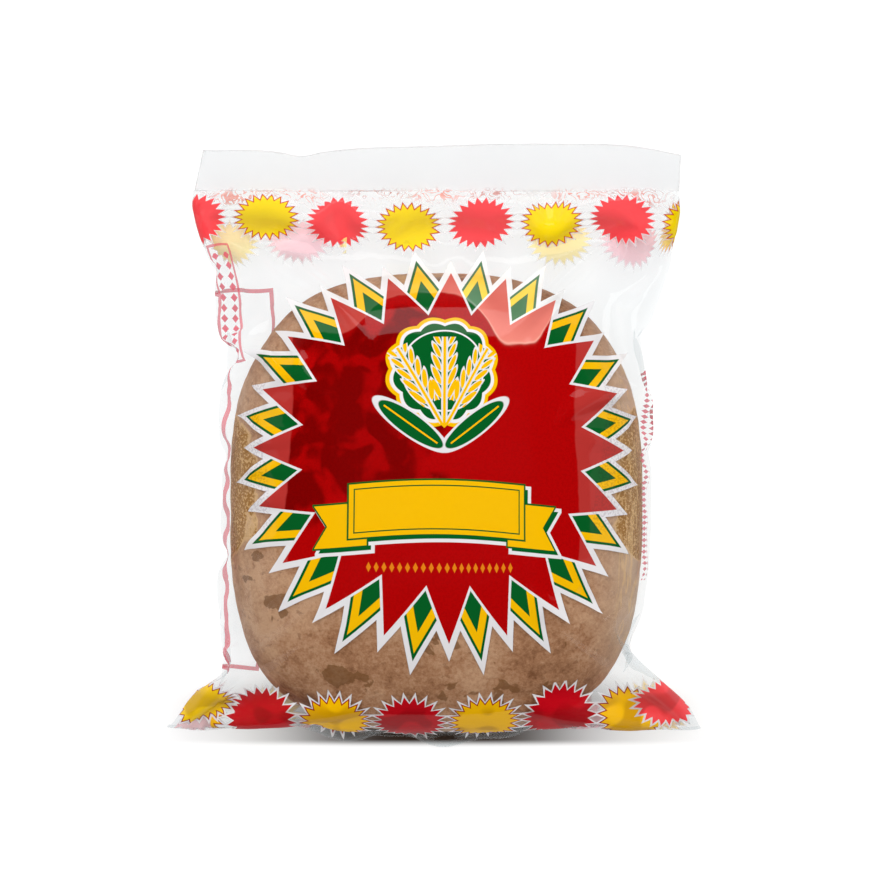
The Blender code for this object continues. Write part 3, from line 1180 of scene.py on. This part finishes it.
    @staticmethod
    def _marks(sheet: Print, off: Value, down: Value, reach: tuple[float, float],
               size: tuple[float, float, float], strength: float) -> None:
        """Lay a column of small red lozenges.

        Args:
            sheet: The print.
            off: Millimetres off the column's middle, or off the middles of two columns.
            down: Millimetres along the film.
            reach: Where the column starts and ends along the film.
            size: The pitch, and half the width and half the height of a lozenge.
            strength: How well the ink covers.
        """
        start, end = reach
        pitch, wide, tall = size
        lozenge = abs(off) / wide + down.back_and_forth(pitch / 2) / tall - 1.0
        mask = sheet.inside(lozenge * 0.6) * (abs(down - (start + end) / 2) < (end - start) / 2)
        sheet.lay(mask, Ink.RULE_RED, strength)

    def _large_burst(self, sheet: Print, x: Value, y: Value) -> Value:
        """Lay the large burst, with the diamonds that show between its points.

        Args:
            sheet: The print.
            x: Millimetres to the right of its centre.
            y: Millimetres above it.

        Returns:
            1 on its red ink.
        """
        radius, angle = sheet.graph.polar(x, y)
        square = radius * radius
        diagonal = (x * y) / square
        inner = square.line(-1 / 52.0**2, 1.0, clamp=True) * (x * x) / square
        radius = radius * inner.line(-self.spread, 1.0) / (diagonal * diagonal).line(4 * self.squareness, 1.0)
        back = Burst(self.points, 54.8, 37.6, math.pi / 2 + math.pi / self.points).distance(radius, angle)
        front = Burst(self.points, 49.5, 34.7, math.pi / 2).distance(radius, angle)
        sheet.lay(sheet.inside(back, 1.2).at_least(sheet.inside(front, 1.6)), Ink.WHITE, Print.EDGING)
        for ink, grow in ((Ink.GREEN, 0.0), (Ink.YELLOW, -0.68), (Ink.GREEN, -2.5)):
            sheet.fill(back, ink, Print.UNDER, grow)
        sheet.fill(front, Ink.WHITE, Print.EDGING, 0.62)
        red = sheet.inside(front)
        sheet.lay(red, Ink.RED, Print.SOLID)
        return red

    def _ornament(self, sheet: Print, x: Value, y: Value) -> None:
        """Lay a medallion with wheat and leaves over a ribbon and a row of beads."""
        x, y = x + 1.5, y + 4.5
        self._medallion(sheet, x, y - 24.0)
        self._leaves(sheet, x, y - 4.5)
        self._ears(sheet, x * 1.3, (y - 9.5) * 1.3)
        self._ribbon(sheet, x + 0.6, y + 12.0)
        glints = abs(x % 1.9 - 0.95) / 0.62 + abs(y + 25.6) / 1.25 - 1.0
        sheet.lay(sheet.inside(glints * 0.5) * (abs(x) < 19.0), Ink.AMBER, Print.SOLID)

    @staticmethod
    def _medallion(sheet: Print, x: Value, y: Value) -> None:
        """Lay a scalloped green medallion with a white and a yellow edge."""
        radius, angle = sheet.graph.polar(x, y)
        edge = radius - 11.6 - abs((angle * 6.0).sine()) * 1.1
        for grow, ink in ((1.9, Ink.YELLOW), (0.9, Ink.WHITE), (0.0, Ink.GREEN)):
            sheet.fill(edge, ink, Print.SOLID, grow)
        sheet.fill(abs(radius - 10.3) - 0.22, Ink.WHITE, Print.SOLID)

    def _ears(self, sheet: Print, x: Value, y: Value) -> None:
        """Lay three wheat ears in a fan, tied over two leaves."""
        radius, angle = sheet.graph.polar(y, x)
        fold = angle.back_and_forth(0.26)
        side, up = radius * fold.sine(), radius * fold.cosine()
        pitch = 4.2
        local = (up - side * 0.9) % pitch - pitch / 2
        cos, sin = math.cos(0.5), math.sin(0.5)
        along, cross = (side - 2.5) * sin + local * cos, (side - 2.5) * cos - local * sin
        grain = ellipse_edge(along, cross, 2.3, 1.25, up.line(-1 / 60.0, 1.2).at_most(1.0))
        fan = abs(angle) < 0.78
        span = (abs(up - 19.5) < 10.5) * fan
        stem = (up < 30.0) * fan
        for ink, strength, grow, half_stem in ((Ink.WHITE, Print.EDGING, 0.45, 1.0),
                                               (Ink.YELLOW, Print.SOLID, 0.0, 0.45)):
            stalk = sheet.inside(side - half_stem) * stem
            sheet.lay((sheet.inside(grain, grow) * span).at_least(stalk), ink, strength)

    def _leaves(self, sheet: Print, x: Value, y: Value) -> None:
        """Lay two green leaves beside the wheat's stems."""
        turn = 0.95
        cos, sin = math.cos(turn), math.sin(turn)
        side, up = abs(x) * cos - y * sin, abs(x) * sin + y * cos
        leaf = ellipse_edge(up - 10.0, side, 9.5, 2.6, 1.0)
        sheet.fill(leaf, Ink.WHITE, Print.EDGING, 0.5)
        sheet.fill(leaf, Ink.GREEN, Print.SOLID)
        vein = (abs(side) < 0.22) * (abs(up - 10.0) < 8.0)
        sheet.lay(vein, Ink.YELLOW, Print.SOLID)

    def _ribbon(self, sheet: Print, x: Value, y: Value) -> None:
        """Lay a blank yellow ribbon with swallow tails and a green rule, over its own green shadow."""
        layers = ((1.1, Ink.GREEN, Ink.WHITE, 0.9, 0.92), (0.0, Ink.YELLOW, Ink.GREEN, 0.45, Print.SOLID))
        for shift, ink, edging, width, strength in layers:
            place_x, place_y = x - shift, y + shift
            arch = (place_x / 15.0).cosine() * 1.5
            tail_y = abs(place_y - arch + 3.4)
            tail = (abs(abs(place_x) - 24.5) - 6.5).at_least(tail_y - 5.4)
            tail = tail.at_least(abs(place_x) - 27.8 - tail_y * 0.6)
            body = (abs(place_x) - 22.5).at_least(abs(place_y - arch) - 6.8)
            for shape in (tail, body):
                sheet.fill(shape, edging, strength, width)
                sheet.fill(shape, ink, Print.SOLID)
        sheet.fill(abs(body + 1.3) - 0.16, Ink.GREEN, Print.SOLID)


def ellipse_edge(along: Value, cross: Value, long: float, short: float, taper: Operand) -> Value:
    """Distance, roughly, to an ellipse's edge.

    Args:
        along: Millimetres from its centre along its long axis.
        cross: Millimetres across it.
        long: Half its length.
        short: Half its width.
        taper: Share of its size.

    Returns:
        The distance in millimetres, negative inside.
    """
    squashed = (along / long) * (along / long) + (cross / short) * (cross / short)
    return (squashed ** 0.5 - taper) * short


@dataclass(frozen=True)
class FilmFinish:
    """Clear, glossy film, printed on the inside and milky where its top end is crimped."""

    haze: float = 0.19                  # how white the crimped top end is
    clarity: Colour = (0.93, 0.942, 0.946)      # share of light that one face of the film lets through
    gloss: float = 0.62
    roughness: float = 0.05
    mirror: float = 0.016               # share of light that one face of the film mirrors straight on
    glance: float = 0.14                # how much more it mirrors at a glancing angle
    glance_power: float = 5.0           # how late towards that angle it does
    rib: float = 1.6                    # pitch of the crimp's ribs, in mm
    relief: float = 0.14 * MM           # height of the small dents
    relief_strength: float = 0.7

    def material(self, artwork: Artwork, fin: float, whole: float, zone: Zone) -> bpy.types.Material:
        """Make the film's material for some parts of the design.

        Args:
            artwork: The design to print.
            fin: Length of each crimped end on the flat film, in mm.
            whole: Length of the flat film, in mm.
            zone: The parts.

        Returns:
            The material.
        """
        material = bpy.data.materials.new(f"film_{zone.value}")
        graph = Graph(material, "2D")
        flat = graph.node("ShaderNodeUVMap", {"uv_map": "flat"}).outputs[0]
        ripple = graph.speckle(flat, 130.0, 0.0)
        free = graph.attribute("gap").ramp(0.4, 3.0)
        crumple = Value(graph, graph.node("ShaderNodeTexVoronoi", {"voronoi_dimensions": "2D"}, {
            "Vector": flat, "Scale": 105.0, "Randomness": 1.0}).outputs["Distance"])
        relief = ripple * free.line(0.5, 0.5) + crumple * free * 0.7
        body = graph.node("ShaderNodeBsdfTransparent", None, {"Color": self.clarity}).outputs[0]
        if zone is not Zone.BARE:
            sheet = artwork.draw(graph, flat, ripple, zone)
            cover, colour = sheet.cover, sheet.colour
            if Zone.ROWS in zone:
                across, down = graph.millimetres(flat)
                crimp = (down < fin).at_least(down > whole - fin)
                ribs = (across * (2 * math.pi / self.rib)).sine() * 0.5 + ripple
                relief = relief * (1 - crimp) + ribs * crimp * 0.6
                cover = cover.at_least((down < fin) * self.haze)
                colour = graph.blend((cover * 4).clamped(), Tone.CRIMPED.value, colour)
            ink = graph.node("ShaderNodeBsdfPrincipled", None, {
                "Base Color": colour, "Roughness": 0.5, "Specular IOR Level": 0.0})
            body = graph.mix_shaders(cover, body, ink.outputs[0])
        normal = graph.bump(relief, self.relief, self.relief_strength)
        shine = graph.node("ShaderNodeBsdfGlossy", None, {
            "Color": (1.0, 1.0, 1.0), "Roughness": self.roughness, "Normal": normal})
        facing = graph.node("ShaderNodeLayerWeight", None, {"Blend": 0.5, "Normal": normal})
        edge = Value(graph, facing.outputs["Facing"]) ** self.glance_power * self.glance + self.mirror
        twice = (edge * (2 * self.gloss) / (1 + edge)).clamped()
        graph.finish(graph.mix_shaders(twice, body, shine.outputs[0]))
        return material


@dataclass
class FilmBag:
    """The bag: the settled tube with its crimped top end and its folded bottom end, as one closed skin."""

    tube: FilmTube = field(default_factory=FilmTube)
    finish: FilmFinish = field(default_factory=FilmFinish)
    fin: float = 10.5 * MM
    fin_rows: int = 11
    cut_edge: tuple[tuple[float, float], ...] = (       # share of the width, mm beyond the fin's length
        (0.0, 0.2), (0.16, -0.4), (0.205, -1.3), (0.25, -0.2), (0.5, 1.2), (0.75, 2.0), (0.91, 1.0),
        (1.0, -1.1))
    edge_corners: tuple[float, float] = (-60.3 * MM, 64.0 * MM)
    fold_reach: float = 3.2 * MM        # how far the folded end stands out past the fold
    fold_blend: float = 12.0 * MM       # over which it draws in again towards the ears
    fold_level: float = 1.5 * MM        # height that its cut edge stays above
    print_centre: tuple[float, float] = (4.2 * MM, -1.1 * MM)
    taut_reach: float = 58.0 * MM       # how far from the print's centre it runs as on taut film
    taut_fit: float = 60.0 * MM         # how far out the film's points take part in that
    taut_blend: float = 6.0 * MM
    taut_side: float = 53.0 * MM        # half the width of the taut part
    taut_side_blend: float = 3.0 * MM
    taut_power: int = 7                 # of the smooth surface that the print follows there
    side_lines: tuple[tuple[float, float, float, float, tuple[float, ...]], ...] = (
        # from the crease, where it is seen, how fast it runs on there, how wide a strip, its start and end
        (4.9 * MM, -53.9 * MM, 1.0, 5.0 * MM, (66 * MM, 72 * MM, 144 * MM, 150 * MM)),
        (-4.65 * MM, 54.2 * MM, 1.2, 4.0 * MM, (58 * MM, 64 * MM, 116 * MM, 122 * MM)))
    calming: int = 30                   # how often the side lines' shift is smoothed along the film
    row_below_fin: float = 9.7 * MM
    row_above_fold: float = 8.7 * MM
    merge: float = 0.002 * MM           # distance at which the rims' points are made one
    whole: float = field(init=False)    # length of the flat film, with both ends

    def build(self) -> bpy.types.Object:
        """Make the bag.

        Returns:
            The bag's object.
        """
        body = self.tube.settle()
        points = np.concatenate([self._top_fin(body[0]), body, self._bottom_fin(body[-1])])
        start = self.tube.half + self.tube.half // 2
        points = np.roll(points, -start, 1)
        points = np.concatenate([points, points[:, :1]], 1)
        columns = points.shape[1]
        widths = self.tube.lay_flat_width(self.tube.down)
        widths = np.pad(widths, self.fin_rows, "edge")
        across = np.linspace(-1, 1, columns)[None, :] * widths[:, None]
        fin_places = np.linspace(0, self.fin, self.fin_rows + 1)
        places = np.concatenate([fin_places[:-1], self.fin + self.tube.down * self.tube.body_length,
                                 self.fin + self.tube.body_length + fin_places[1:]])
        down = np.broadcast_to(places[:, None], across.shape)
        across, down = self._smooth_middle(points, across, down)
        across = self._straighten(points, across, down)
        self.whole = float(places[-1])
        mesh = self._skin(points, across, down)
        store_number(mesh, "gap", np.minimum(self.tube.bun.gap(vertex_places(mesh)) / MM, 20.0))
        self._print(mesh, self._artwork(points, across, down))
        return link("film_bag", mesh)

    def _print(self, mesh: bpy.types.Mesh, artwork: Artwork) -> None:
        """Give each stretch of film the material with its own parts of the design."""
        flat = np.empty(len(mesh.loops) * 2)
        mesh.uv_layers["flat"].data.foreach_get("uv", flat)
        flat = flat.reshape(-1, 2) / MM
        first = np.empty(len(mesh.polygons), dtype=int)
        mesh.polygons.foreach_get("loop_start", first)
        zones = artwork.zones(np.minimum.reduceat(flat, first), np.maximum.reduceat(flat, first))
        kinds, kind = np.unique(zones, return_inverse=True)
        for zone in kinds:
            mesh.materials.append(self.finish.material(artwork, self.fin / MM, self.whole / MM,
                                                       Zone(int(zone))))
        mesh.polygons.foreach_set("material_index", kind)

    def _off_centre(self, points: Array) -> Array:
        """Distance of each point, as seen from above, from where the print's centre is seen."""
        return np.hypot(points[..., 0] - self.print_centre[0], points[..., 1] - self.print_centre[1])

    def _smooth_middle(self, points: Array, across: Array, down: Array) -> tuple[Array, Array]:
        """Let the large burst's edges run straight over the front's small wrinkles, as on taut film.

        Args:
            points: Places by row and column.
            across: Distance round the tube from the front's middle.
            down: Distance along the film from its top edge.

        Returns:
            The distances that the print follows.
        """
        x, y = points[..., 0] / self.taut_fit, (points[..., 1] - self.print_centre[1]) / self.taut_fit
        count = self.taut_power + 1
        terms = np.stack([x**i * y**j for i in range(count) for j in range(count - i)], -1)
        off = self._off_centre(points)
        aside = np.abs(points[..., 0])
        front = np.abs(across) < self.tube.body_width / 2
        fitted = front & (off < self.taut_fit) & (aside < self.taut_side)
        share = front * np.clip((self.taut_reach - off) / self.taut_blend, 0, 1) * np.clip(
            (self.taut_side - aside) / self.taut_side_blend, 0, 1)
        smoothed = []
        for values in (across, down):
            factors = np.linalg.lstsq(terms[fitted], values[fitted], rcond=None)[0]
            smoothed.append(values + share * (terms @ factors - values))
        return smoothed[0], smoothed[1]

    def _straighten(self, points: Array, across: Array, down: Array) -> Array:
        """Let the print's lines run straight beside both creases, whatever the film's small waves there.

        Args:
            points: Places by row and column.
            across: Distance round the tube from the front's middle.
            down: Distance along the film from its top edge.

        Returns:
            The distance round the tube that the print follows.
        """
        straight = across.copy()
        for printed, seen, slope, span, reach in self.side_lines:
            crease = math.copysign(self.tube.body_width / 2, seen)
            along = np.interp(down, np.array(reach), (0, 1, 1, 0)) * ((across - crease) * printed > 0)
            near = np.clip(2 - np.abs(across - crease - printed) / span, 0, 1)
            shift = crease + printed + (points[..., 0] - seen) * slope - across
            for _ in range(self.calming):
                shift[1:-1] = (shift[:-2] + 2 * shift[1:-1] + shift[2:]) / 4
            straight += along * near * shift
        return straight

    def _top_fin(self, seam: Array) -> Array:
        """Rows of the crimped end, from its cut edge down to the seal's lower line."""
        share = self.tube.share
        left, right = self.tube.top_corners
        slant = (self.edge_corners[0] - left) * (1 - share) + (self.edge_corners[1] - right) * share
        edge = smooth_curve(self.cut_edge, share) * MM
        rows = []
        for part in np.linspace(1, 0, self.fin_rows + 1)[:-1]:
            row = seam.copy()
            row[:, 0] += part * slant
            row[:, 1] += part * (self.fin + edge)
            row[:, 2] += part * (1 - part) * 0.8 * MM * np.sin(share * 19)
            if part == 1:
                row[:, 2] -= self.tube.side * self.tube.seal_gap
            rows.append(row)
        return np.array(rows)

    def _bottom_fin(self, fold: Array) -> Array:
        """Rows of the bottom seal, folded down over the bag's end, from the fold to its cut edge."""
        share = self.tube.share
        middle = np.clip((self.tube.ear_start - np.abs(fold[:, 0])) / self.fold_blend, 0, 1)
        stand = self.fold_reach * middle * (0.6 + 0.4 * np.sin(share * 23 + 1) + 0.3 * np.sin(share * 41))
        seam = fold[:, 2] - self.tube.side * self.tube.seal_gap
        rows = []
        for part in np.linspace(0, 1, self.fin_rows + 1)[1:]:
            row = fold.copy()
            bulge = stand * math.sin(math.pi * min(part * 1.3, 1.0))
            row[:, 1] -= bulge + self.tube.side * self.tube.seal_gap
            row[:, 2] -= part * (self.fin - 1.0 * MM) * np.minimum(1, (seam - self.fold_level) / self.fin)
            if part == 1:
                row[:, 1] += self.tube.side * self.tube.seal_gap
                row[:, 2] -= self.tube.side * self.tube.seal_gap
            rows.append(row)
        return np.array(rows)

    def _artwork(self, points: Array, across: Array, down: Array) -> Artwork:
        """Place the design so that its large burst shows where the front's middle is."""
        front = np.abs(across) < 0.5 * self.tube.body_width
        nearest = np.argmin(np.where(front, self._off_centre(points), 1.0))
        centre = (float(across.flat[nearest]) / MM, float(down.flat[nearest]) / MM)
        fold = self.whole - self.fin
        # the top row's inks are painted brighter, as lit from behind through the clear film
        top = Row(place=(self.fin + self.row_below_fin) / MM, phase=1.89, burst=Burst(22, 8.0, 6.0),
                  squat=1.26, red=Ink.BACKLIT_RED, gold=Ink.BACKLIT_YELLOW, line=Ink.BACKLIT_LINE, halo=0.5,
                  back_drop=7.8, bow=0.0, heave=(-6.0, -1.5), crease_gap=-1.0)
        bottom = Row(place=(fold - self.row_above_fold) / MM, phase=2.828, burst=Burst(22, 8.6, 6.5),
                     squat=1.0, red=Ink.DEEP_RED, gold=Ink.YELLOW, line=Ink.LINE_RED, halo=0.85,
                     back_drop=0.0, bow=4.5, heave=(36.0, 3.4), crease_gap=7.0)
        return Artwork(centre, (top, bottom), self.tube.body_width / MM / 2, self.fin / MM)

    def _skin(self, points: Array, across: Array, down: Array) -> bpy.types.Mesh:
        """Make the mesh, with the flat film's coordinates as its UV map.

        Args:
            points: Places by row and column.
            across: Distance round the tube from the front's middle.
            down: Distance along the film from its top edge.

        Returns:
            The mesh.
        """
        rows, columns = points.shape[:2]
        sheet = bmesh.new()
        bmesh.ops.create_grid(sheet, x_segments=columns - 1, y_segments=rows - 1, size=1.0)
        mesh = mesh_from("film_bag", sheet)
        grid = vertex_places(mesh)
        column = np.rint((grid[:, 0] + 1) / 2 * (columns - 1)).astype(int)
        row = np.rint((1 - grid[:, 1]) / 2 * (rows - 1)).astype(int)
        mesh.vertices.foreach_set("co", points[row, column].ravel())
        corner = np.empty(len(mesh.loops), dtype=int)
        mesh.loops.foreach_get("vertex_index", corner)
        layer = mesh.uv_layers.new(name="flat")
        flat = np.stack([across[row, column][corner], down[row, column][corner]], -1)
        layer.data.foreach_set("uv", flat.ravel())
        skin = bmesh.new()
        skin.from_mesh(mesh)
        rim = [v for v in skin.verts if v.is_boundary]
        bmesh.ops.remove_doubles(skin, verts=rim, dist=self.merge)
        bmesh.ops.recalc_face_normals(skin, faces=skin.faces)
        LOG.info("film: %d faces, %d open edges, %.0f ml", len(skin.faces),
                 sum(e.is_boundary for e in skin.edges), skin.calc_volume(signed=True) * 1e6)
        skin.to_mesh(mesh)
        skin.free()
        mesh.shade_smooth()
        return mesh


# ---------------------------------------------------------------------------------------------------------
# The studio
# ---------------------------------------------------------------------------------------------------------

@dataclass(frozen=True)
class Softbox:
    """A rectangular studio light that points at the bag."""

    AIM = Vector((0.0, 0.0, 0.015))

    name: str
    place: tuple[float, float, float]
    width: float
    height: float
    power: float
    mirrored: bool = True               # whether gloss shows it

    def build(self) -> None:
        """Hang the light."""
        lamp = bpy.data.lights.new(self.name, "AREA")
        lamp.shape = "RECTANGLE"
        lamp.size, lamp.size_y = self.width, self.height
        lamp.energy = self.power
        holder = bpy.data.objects.new(self.name, lamp)
        holder.location = self.place
        way = self.AIM - Vector(self.place)
        holder.rotation_euler = way.to_track_quat("-Z", "Y").to_euler()
        holder.visible_glossy = self.mirrored
        bpy.context.scene.collection.objects.link(holder)


@dataclass(frozen=True)
class Studio:
    """A white floor, soft light and a camera that looks straight down at the bag."""

    picture_width: float = 226.2 * MM   # what the picture shows at the height of the bag's outline
    focus_height: float = 14.0 * MM
    aim_y: float = 2.6 * MM
    distance: float = 1.0
    sensor: float = 36.0
    zenith: float = 0.02
    horizon: float = 0.3
    floor_glow: float = 0.83            # a faintly lit table, which keeps the floor white under the film
    floor_paint: Colour = (0.30, 0.30, 0.30)
    floor_size: float = 3.0             # half its side
    contact_shade: Colour = (0.02, 0.012, 0.008)        # painted shadow where the bag's folded end rests on the table
    contact_start: tuple[float, float] = (-79.8, -77.6)     # over which that sets in along Y, in mm
    contact_end: tuple[float, float] = (-68.0, -58.0)       # over which it fades again
    contact_width: float = 40.0
    lights: tuple[Softbox, ...] = (
        Softbox("key", (-0.04, 0.22, 1.6), 1.3, 1.3, 25.8, mirrored=False),
        Softbox("left_box", (-0.85, 0.1, 0.40), 0.7, 0.35, 0.5),
        Softbox("right_box", (0.85, 0.0, 0.45), 0.7, 0.4, 0.6),
        Softbox("top_box", (0.05, 0.80, 0.55), 0.7, 0.35, 2.0),
    )

    def build(self) -> None:
        """Set up floor, lights, surroundings and camera."""
        self._floor()
        self._surroundings()
        for light in self.lights:
            light.build()
        self._camera()

    def _floor(self) -> None:
        """Lay the floor."""
        sheet = bmesh.new()
        bmesh.ops.create_grid(sheet, x_segments=1, y_segments=1, size=self.floor_size)
        mesh = mesh_from("floor", sheet)
        material = bpy.data.materials.new("floor")
        graph = Graph(material)
        place = graph.node("ShaderNodeTexCoord").outputs["Object"]
        x, y = graph.millimetres(place)
        # painted contact shadow: darkens the floor's paint and its glow under the folded end
        contact = y.ramp(*self.contact_start) * (1 - y.ramp(*self.contact_end))
        contact = contact * x.hill(0.0, self.contact_width)
        paint = graph.node("ShaderNodeBsdfPrincipled", None, {
            "Base Color": graph.blend(contact, self.floor_paint, self.contact_shade), "Roughness": 0.9,
            "Emission Color": graph.blend(contact, (1.0, 1.0, 1.0), self.contact_shade),
            "Emission Strength": self.floor_glow, "Specular IOR Level": 0.0})
        graph.finish(paint.outputs[0])
        mesh.materials.append(material)
        link("floor", mesh)

    def _surroundings(self) -> None:
        """Make the room, dark overhead, bright towards the horizon and dimmer behind the bag's folded end."""
        world = bpy.data.worlds.new("room")
        bpy.context.scene.world = world
        graph = Graph(world)
        way = graph.node("ShaderNodeTexCoord").outputs["Generated"]
        split = graph.node("ShaderNodeSeparateXYZ", None, {0: way})
        along, height = Value(graph, split.outputs[1]), Value(graph, split.outputs[2])
        overhead, behind = height.ramp(0.12, 0.5), along.ramp(0.1, -0.6)
        dark = overhead.at_least(behind * 0.8)
        shade = graph.blend(dark, (self.horizon,) * 3, (self.zenith,) * 3)
        sky = graph.node("ShaderNodeBackground", None, {"Color": shade, "Strength": 1.0})
        graph.finish(sky.outputs[0])

    def _camera(self) -> None:
        """Hang the camera over the bag."""
        camera = bpy.data.cameras.new("camera")
        camera.sensor_width = self.sensor
        camera.lens = self.sensor * self.distance / self.picture_width
        camera.clip_start = 0.01
        holder = bpy.data.objects.new("camera", camera)
        holder.location = (0.0, self.aim_y, self.focus_height + self.distance)
        bpy.context.scene.collection.objects.link(holder)
        bpy.context.scene.camera = holder


def main() -> None:
    """Build the bag, the bun and the studio."""
    logging.basicConfig(level=logging.INFO, format="%(name)s: %(message)s")
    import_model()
    scene = bpy.context.scene
    scene.view_settings.view_transform = "Standard"
    scene.cycles.transparent_max_bounces = FILM_LAYERS
    bag = FilmBag().build()
    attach(bag, "root")
    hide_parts("sealed_bag")
    LOG.info("film bag made")
    bun = Bun().build(bag)
    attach(bun, "root")
    LOG.info("bun made: %d faces", len(bun.data.polygons))
    Studio().build()


if __name__ == "__main__":
    main()
